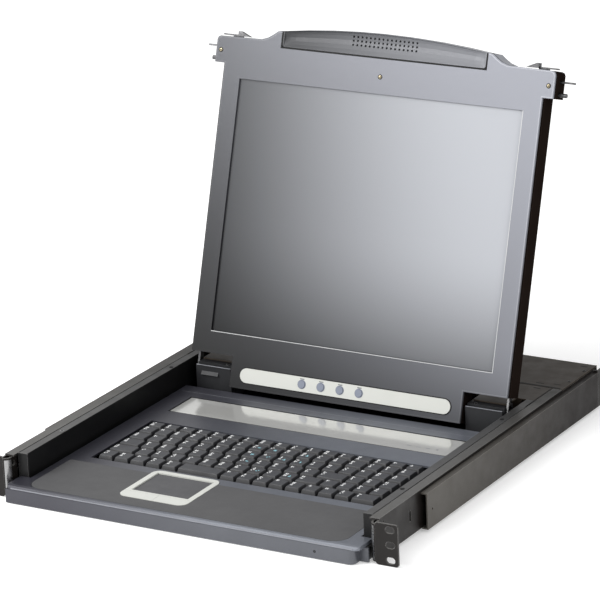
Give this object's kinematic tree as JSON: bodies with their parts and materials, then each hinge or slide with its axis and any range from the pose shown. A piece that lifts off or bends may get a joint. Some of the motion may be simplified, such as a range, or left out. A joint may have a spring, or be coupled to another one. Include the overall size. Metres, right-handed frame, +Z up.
{
  "type": "rack console kvm switch",
  "caption": "Rack console drawer: keyboard, touchpad and flip-up flat display on telescopic slides, with a switch box of computer ports behind.",
  "frame": {"origin": "bottom centre of the whole object's box at rest: mid width, mid depth, level with the foot of the rack ears", "axes": "+X to the operator's right, +Y to the back of the rack, +Z up"},
  "size_m": [0.4826, 0.5986, 0.3996],
  "materials": {
    "chassis_paint": "fine matt black powder coat",
    "dark_paint": "satin black powder coat",
    "deck_plastic": "metallic blue-grey paint",
    "bezel_plastic": "metallic blue-grey paint",
    "inlay_plastic": "fine matt texture",
    "silver_plastic": "silver-white paint, satin",
    "pad_plastic": "smooth matt",
    "key_plastic": "fine matt texture with printed legends",
    "button_plastic": "satin",
    "steel": "bright zinc plate",
    "display": "anti-glare film over a dark panel",
    "window_plastic": "clear gloss over grey print",
    "circuit_board": "green solder mask",
    "socket_plastic": "moulded, with plated shells",
    "light_pipe": "clear lens"
  },
  "bodies": {
    "chassis": {"chassis_left_plate": "chassis_paint", "chassis_right_plate": "chassis_paint", "rail_cover_left": "chassis_paint", "rail_cover_right": "chassis_paint", "slide_outer_left": "steel", "slide_outer_right": "steel", "chassis_pan": "chassis_paint", "chassis_top_cover": "chassis_paint", "rear_panel": "chassis_paint", "computer_port_bank": "socket_plastic", "console_video_port": "socket_plastic", "console_usb_port": "socket_plastic", "power_inlet": "key_plastic", "switch_board": "circuit_board", "power_supply": "steel", "earth_screw": "steel"},
    "power_rocker": {"power_rocker": "key_plastic"},
    "rear_bracket_left": {"rear_bracket_left": "chassis_paint"},
    "rear_bracket_right": {"rear_bracket_right": "chassis_paint"},
    "slide_middle_left": {"slide_middle_left": "steel"},
    "slide_middle_right": {"slide_middle_right": "steel"},
    "drawer": {"drawer_left_wall": "dark_paint", "drawer_right_wall": "dark_paint", "slide_inner_left": "steel", "slide_inner_right": "steel", "drawer_pan": "dark_paint", "drawer_lip": "deck_plastic", "power_light": "light_pipe", "keyboard_deck": "deck_plastic", "palm_inlay": "inlay_plastic", "touchpad_frame": "silver_plastic", "touchpad_surface": "pad_plastic", "status_window": "window_plastic", "keyboard_base": "dark_paint", "hinge_housing_left": "key_plastic", "hinge_housing_right": "key_plastic", "drawer_rear_cover": "chassis_paint"},
    "touchpad_left_button": {"touchpad_left_button": "silver_plastic"},
    "touchpad_right_button": {"touchpad_right_button": "silver_plastic"},
    "space_bar": {"space_bar": "key_plastic"},
    "lid": {"lid_bezel": "bezel_plastic", "lid_back_cover": "dark_paint", "lcd_panel": "display", "lid_control_board": "circuit_board", "control_strip": "silver_plastic", "pull_handle": "bezel_plastic", "hinge_arm_left": "steel", "hinge_arm_right": "steel"},
    "release_catch_left": {"release_catch_left": "steel"},
    "release_catch_right": {"release_catch_right": "steel"},
    "key_row_1": {"key_row_1": "key_plastic"},
    "key_row_2": {"key_row_2": "key_plastic"},
    "key_row_3": {"key_row_3": "key_plastic"},
    "key_row_4": {"key_row_4": "key_plastic"},
    "key_row_5": {"key_row_5": "key_plastic"},
    "key_row_6": {"key_row_6": "key_plastic"},
    "control_button_1": {"control_button_1": "button_plastic"},
    "control_button_2": {"control_button_2": "button_plastic"},
    "control_button_3": {"control_button_3": "button_plastic"},
    "control_button_4": {"control_button_4": "button_plastic"}
  },
  "joints": [
    {"name": "drawer_slide", "type": "slide", "parent": "chassis", "child": "drawer", "axis": [0, -1, 0], "range_m": [0, 0.37]},
    {"name": "slide_middle_left_travel", "type": "slide", "parent": "chassis", "child": "slide_middle_left", "axis": [0, -1, 0], "range_m": [0, 0.185]},
    {"name": "slide_middle_right_travel", "type": "slide", "parent": "chassis", "child": "slide_middle_right", "axis": [0, -1, 0], "range_m": [0, 0.185]},
    {"name": "lid_hinge", "type": "hinge", "parent": "drawer", "child": "lid", "pos_m": [0, 0.05445, 0.0381], "axis": [1, 0, 0], "range_deg": [-12, 107.7]},
    {"name": "release_catch_left_travel", "type": "slide", "parent": "lid", "child": "release_catch_left", "axis": [1, 0, 0], "range_m": [0, 0.005], "stiffness_N_per_m": 500, "springref_m": -0.006},
    {"name": "release_catch_right_travel", "type": "slide", "parent": "lid", "child": "release_catch_right", "axis": [-1, 0, 0], "range_m": [0, 0.005], "stiffness_N_per_m": 500, "springref_m": -0.006},
    {"name": "control_button_1_press", "type": "slide", "parent": "lid", "child": "control_button_1", "axis": [0, 0.9527, -0.304], "range_m": [0, 0.001], "stiffness_N_per_m": 400, "springref_m": -0.002},
    {"name": "control_button_2_press", "type": "slide", "parent": "lid", "child": "control_button_2", "axis": [0, 0.9527, -0.304], "range_m": [0, 0.001], "stiffness_N_per_m": 400, "springref_m": -0.002},
    {"name": "control_button_3_press", "type": "slide", "parent": "lid", "child": "control_button_3", "axis": [0, 0.9527, -0.304], "range_m": [0, 0.001], "stiffness_N_per_m": 400, "springref_m": -0.002},
    {"name": "control_button_4_press", "type": "slide", "parent": "lid", "child": "control_button_4", "axis": [0, 0.9527, -0.304], "range_m": [0, 0.001], "stiffness_N_per_m": 400, "springref_m": -0.002},
    {"name": "touchpad_left_button_press", "type": "slide", "parent": "drawer", "child": "touchpad_left_button", "axis": [0, 0, -1], "range_m": [0, 0.0008], "stiffness_N_per_m": 500, "springref_m": -0.002},
    {"name": "touchpad_right_button_press", "type": "slide", "parent": "drawer", "child": "touchpad_right_button", "axis": [0, 0, -1], "range_m": [0, 0.0008], "stiffness_N_per_m": 500, "springref_m": -0.002},
    {"name": "key_row_1_press", "type": "slide", "parent": "drawer", "child": "key_row_1", "axis": [0, 0, -1], "range_m": [0, 0.002], "stiffness_N_per_m": 600, "springref_m": -0.006},
    {"name": "key_row_2_press", "type": "slide", "parent": "drawer", "child": "key_row_2", "axis": [0, 0, -1], "range_m": [0, 0.002], "stiffness_N_per_m": 600, "springref_m": -0.006},
    {"name": "key_row_3_press", "type": "slide", "parent": "drawer", "child": "key_row_3", "axis": [0, 0, -1], "range_m": [0, 0.002], "stiffness_N_per_m": 600, "springref_m": -0.006},
    {"name": "key_row_4_press", "type": "slide", "parent": "drawer", "child": "key_row_4", "axis": [0, 0, -1], "range_m": [0, 0.002], "stiffness_N_per_m": 600, "springref_m": -0.006},
    {"name": "key_row_5_press", "type": "slide", "parent": "drawer", "child": "key_row_5", "axis": [0, 0, -1], "range_m": [0, 0.002], "stiffness_N_per_m": 600, "springref_m": -0.006},
    {"name": "key_row_6_press", "type": "slide", "parent": "drawer", "child": "key_row_6", "axis": [0, 0, -1], "range_m": [0, 0.002], "stiffness_N_per_m": 600, "springref_m": -0.006},
    {"name": "space_bar_press", "type": "slide", "parent": "drawer", "child": "space_bar", "axis": [0, 0, -1], "range_m": [0, 0.002], "stiffness_N_per_m": 300, "springref_m": -0.003},
    {"name": "power_rocker_tilt", "type": "hinge", "parent": "chassis", "child": "power_rocker", "pos_m": [0.149, 0.20025, 0.022], "axis": [1, 0, 0], "range_deg": [-16, 0]},
    {"name": "rear_bracket_left_adjust", "type": "slide", "parent": "chassis", "child": "rear_bracket_left", "axis": [0, 1, 0], "range_m": [0, 0.05]},
    {"name": "rear_bracket_right_adjust", "type": "slide", "parent": "chassis", "child": "rear_bracket_right", "axis": [0, 1, 0], "range_m": [0, 0.05]}
  ],
  "couplings": [
    {"joint": "slide_middle_left_travel", "follows": "drawer_slide", "ratio": 0.5},
    {"joint": "slide_middle_right_travel", "follows": "drawer_slide", "ratio": 0.5}
  ]
}
